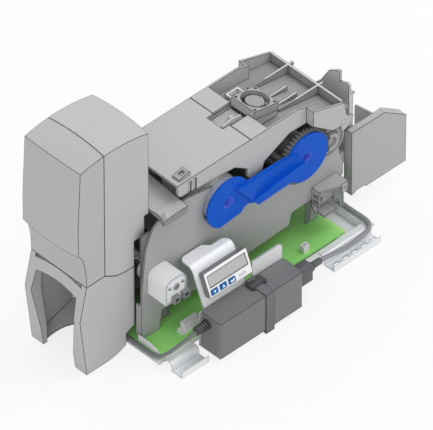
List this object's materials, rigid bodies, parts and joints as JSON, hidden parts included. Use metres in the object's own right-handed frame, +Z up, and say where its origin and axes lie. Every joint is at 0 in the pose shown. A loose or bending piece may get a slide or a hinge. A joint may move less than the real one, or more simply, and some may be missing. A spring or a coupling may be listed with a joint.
{
  "type": "id card printer",
  "caption": "Desktop id card printer with its casing cut away: card hopper tower, hinged lid with print head and fan, blue ribbon cartridge, driven rollers, display and power supply.",
  "frame": {"origin": "on the table plane under the base pan, midway along the pan and in line with the near side of the tower", "axes": "X runs along the printer from the hopper tower to the rear, Y runs away from the side with the ribbon cartridge, Z is up"},
  "size_m": [0.4481, 0.1731, 0.281],
  "materials": {
    "base_pan": "zinc plated sheet",
    "main_board": "green solder mask",
    "board_connectors": "moulded",
    "near_side_plate": "grey sheet metal",
    "far_side_plate": "grey sheet metal",
    "front_frame": "dark sheet metal",
    "rear_beam": "grey sheet metal",
    "front_guide": "satin moulding",
    "card_rails": "moulded",
    "chassis_screws": "zinc plated",
    "hopper_shell": "fine grained moulding",
    "hopper_door": "fine grained moulding",
    "door_hinge_pin": "turned",
    "hopper_floor": "moulded",
    "card_weight": "moulded",
    "pick_roller": "ground rubber",
    "output_hopper": "fine grained moulding",
    "output_tray": "moulded",
    "transport_motor": "light can with dark pins",
    "drive_shaft": "turned",
    "feed_roller": "rubber on a steel shaft",
    "platen_roller": "rubber on a steel shaft",
    "transport_roller": "rubber on a steel shaft",
    "exit_roller": "rubber on a steel shaft",
    "front_pinch_roller": "ground",
    "middle_pinch_roller": "ground",
    "rear_pinch_roller": "ground",
    "motor_belt": "flat belt",
    "transport_belt": "flat belt",
    "ribbon_cartridge": "smooth blue moulding",
    "supply_spool": "white core and film",
    "takeup_spool": "grey gear and film",
    "top_cover": "fine grained moulding",
    "head_tray": "ribbed moulding",
    "print_head": "milled",
    "heat_sink": "extruded fins",
    "head_connector": "moulded",
    "fan_frame": "moulded",
    "fan_rotor": "moulded",
    "lid_latch": "moulded",
    "hinge_pins": "turned",
    "bearing_cap": "moulded",
    "rear_post": "moulded",
    "rear_cover": "fine grained moulding",
    "rear_bracket": "moulded",
    "reject_flap": "moulded",
    "mains_inlet": "moulded",
    "power_supply": "dark satin case",
    "supply_strap": "woven strap",
    "strap_buckle": "moulded",
    "mains_plug": "moulded",
    "mains_lead": "sheathed cable",
    "strain_relief": "ribbed sleeve",
    "power_lead": "sheathed cable",
    "display_bracket": "light sheet metal",
    "display_housing": "moulded",
    "display_window": "grey liquid crystal panel",
    "down_button": "blue with a white arrow",
    "up_button": "blue with a white arrow",
    "enter_button": "blue with a white arrow"
  },
  "bodies": {
    "printer": {"base_pan": "base_pan", "main_board": "main_board", "board_connectors": "board_connectors", "near_side_plate": "near_side_plate", "far_side_plate": "far_side_plate", "front_frame": "front_frame", "rear_beam": "rear_beam", "front_guide": "front_guide", "card_rails": "card_rails", "chassis_screws": "chassis_screws", "hopper_shell": "hopper_shell", "door_hinge_pin": "door_hinge_pin", "hopper_floor": "hopper_floor", "output_hopper": "output_hopper", "output_tray": "output_tray", "transport_motor": "transport_motor", "motor_belt": "motor_belt", "transport_belt": "transport_belt", "hinge_pins": "hinge_pins", "bearing_cap": "bearing_cap", "rear_post": "rear_post", "rear_cover": "rear_cover", "rear_bracket": "rear_bracket", "mains_inlet": "mains_inlet", "power_supply": "power_supply", "supply_strap": "supply_strap", "strap_buckle": "strap_buckle", "mains_plug": "mains_plug", "mains_lead": "mains_lead", "strain_relief": "strain_relief", "power_lead": "power_lead", "display_bracket": "display_bracket", "display_housing": "display_housing", "display_window": "display_window"},
    "lid": {"top_cover": "top_cover", "head_tray": "head_tray", "print_head": "print_head", "heat_sink": "heat_sink", "head_connector": "head_connector", "fan_frame": "fan_frame"},
    "latch": {"lid_latch": "lid_latch"},
    "fan": {"fan_rotor": "fan_rotor"},
    "door": {"hopper_door": "hopper_door"},
    "weight": {"card_weight": "card_weight"},
    "pick": {"pick_roller": "pick_roller"},
    "drive": {"drive_shaft": "drive_shaft"},
    "feed": {"feed_roller": "feed_roller"},
    "platen": {"platen_roller": "platen_roller"},
    "transport": {"transport_roller": "transport_roller"},
    "exit": {"exit_roller": "exit_roller"},
    "front_pinch": {"front_pinch_roller": "front_pinch_roller"},
    "middle_pinch": {"middle_pinch_roller": "middle_pinch_roller"},
    "rear_pinch": {"rear_pinch_roller": "rear_pinch_roller"},
    "cartridge": {"ribbon_cartridge": "ribbon_cartridge"},
    "supply": {"supply_spool": "supply_spool"},
    "takeup": {"takeup_spool": "takeup_spool"},
    "down_key": {"down_button": "down_button"},
    "up_key": {"up_button": "up_button"},
    "enter_key": {"enter_button": "enter_button"},
    "flap": {"reject_flap": "reject_flap"}
  },
  "joints": [
    {"name": "lid_hinge", "type": "hinge", "parent": "printer", "child": "lid", "pos_m": [0.13, 0.034, 0.144], "axis": [0, 1, 0], "range_deg": [0, 65]},
    {"name": "latch_slide", "type": "slide", "parent": "lid", "child": "latch", "axis": [1, 0, 0], "range_m": [0, 0.0025], "stiffness_N_per_m": 200, "springref_m": -0.002},
    {"name": "fan_spin", "type": "hinge", "parent": "lid", "child": "fan", "pos_m": [0.053, 0.0286, 0.185], "axis": [0.1908, 0, 0.9816], "continuous": true},
    {"name": "door_hinge", "type": "hinge", "parent": "printer", "child": "door", "pos_m": [-0.18, 0.0815, 0.19], "axis": [0, 0, -1], "range_deg": [0, 100]},
    {"name": "weight_slide", "type": "slide", "parent": "printer", "child": "weight", "axis": [0, 0, 1], "range_m": [0, 0.074]},
    {"name": "pick_spin", "type": "hinge", "parent": "printer", "child": "pick", "pos_m": [-0.14601, 0.04, 0.10752], "axis": [0, 1, 0], "continuous": true},
    {"name": "drive_spin", "type": "hinge", "parent": "printer", "child": "drive", "pos_m": [-0.1175, 0.034, 0.087], "axis": [0, 1, 0], "continuous": true},
    {"name": "feed_spin", "type": "hinge", "parent": "printer", "child": "feed", "pos_m": [-0.08, 0.034, 0.089], "axis": [0, 1, 0], "continuous": true},
    {"name": "platen_spin", "type": "hinge", "parent": "printer", "child": "platen", "pos_m": [0.02, 0.034, 0.089], "axis": [0, 1, 0], "continuous": true},
    {"name": "transport_spin", "type": "hinge", "parent": "printer", "child": "transport", "pos_m": [0.068, 0.034, 0.089], "axis": [0, 1, 0], "continuous": true},
    {"name": "exit_spin", "type": "hinge", "parent": "printer", "child": "exit", "pos_m": [0.114, 0.034, 0.089], "axis": [0, 1, 0], "continuous": true},
    {"name": "front_pinch_spin", "type": "hinge", "parent": "printer", "child": "front_pinch", "pos_m": [-0.08, 0.034, 0.1028], "axis": [0, 1, 0], "continuous": true},
    {"name": "middle_pinch_spin", "type": "hinge", "parent": "printer", "child": "middle_pinch", "pos_m": [0.068, 0.034, 0.1028], "axis": [0, 1, 0], "continuous": true},
    {"name": "rear_pinch_spin", "type": "hinge", "parent": "printer", "child": "rear_pinch", "pos_m": [0.114, 0.034, 0.1028], "axis": [0, 1, 0], "continuous": true},
    {"name": "cartridge_slide", "type": "slide", "parent": "printer", "child": "cartridge", "axis": [0, -1, 0], "range_m": [0, 0.085]},
    {"name": "supply_spin", "type": "hinge", "parent": "cartridge", "child": "supply", "pos_m": [-0.0272, 0.034, 0.1315], "axis": [0, 1, 0], "continuous": true},
    {"name": "takeup_spin", "type": "hinge", "parent": "cartridge", "child": "takeup", "pos_m": [0.0816, 0.034, 0.1243], "axis": [0, 1, 0], "continuous": true},
    {"name": "flap_hinge", "type": "hinge", "parent": "printer", "child": "flap", "pos_m": [0.125, -0.019, 0.064], "axis": [0, -1, 0], "range_deg": [0, 35]},
    {"name": "down_press", "type": "slide", "parent": "printer", "child": "down_key", "axis": [0, 0.9232, -0.3843], "range_m": [0, 0.0008], "stiffness_N_per_m": 300, "springref_m": -0.001},
    {"name": "up_press", "type": "slide", "parent": "printer", "child": "up_key", "axis": [0, 0.9232, -0.3843], "range_m": [0, 0.0008], "stiffness_N_per_m": 300, "springref_m": -0.001},
    {"name": "enter_press", "type": "slide", "parent": "printer", "child": "enter_key", "axis": [0, 0.9232, -0.3843], "range_m": [0, 0.0008], "stiffness_N_per_m": 300, "springref_m": -0.001}
  ],
  "couplings": [
    {"joint": "drive_spin", "follows": "platen_spin", "ratio": 1},
    {"joint": "feed_spin", "follows": "platen_spin", "ratio": 1},
    {"joint": "transport_spin", "follows": "platen_spin", "ratio": 1},
    {"joint": "exit_spin", "follows": "platen_spin", "ratio": 1}
  ]
}
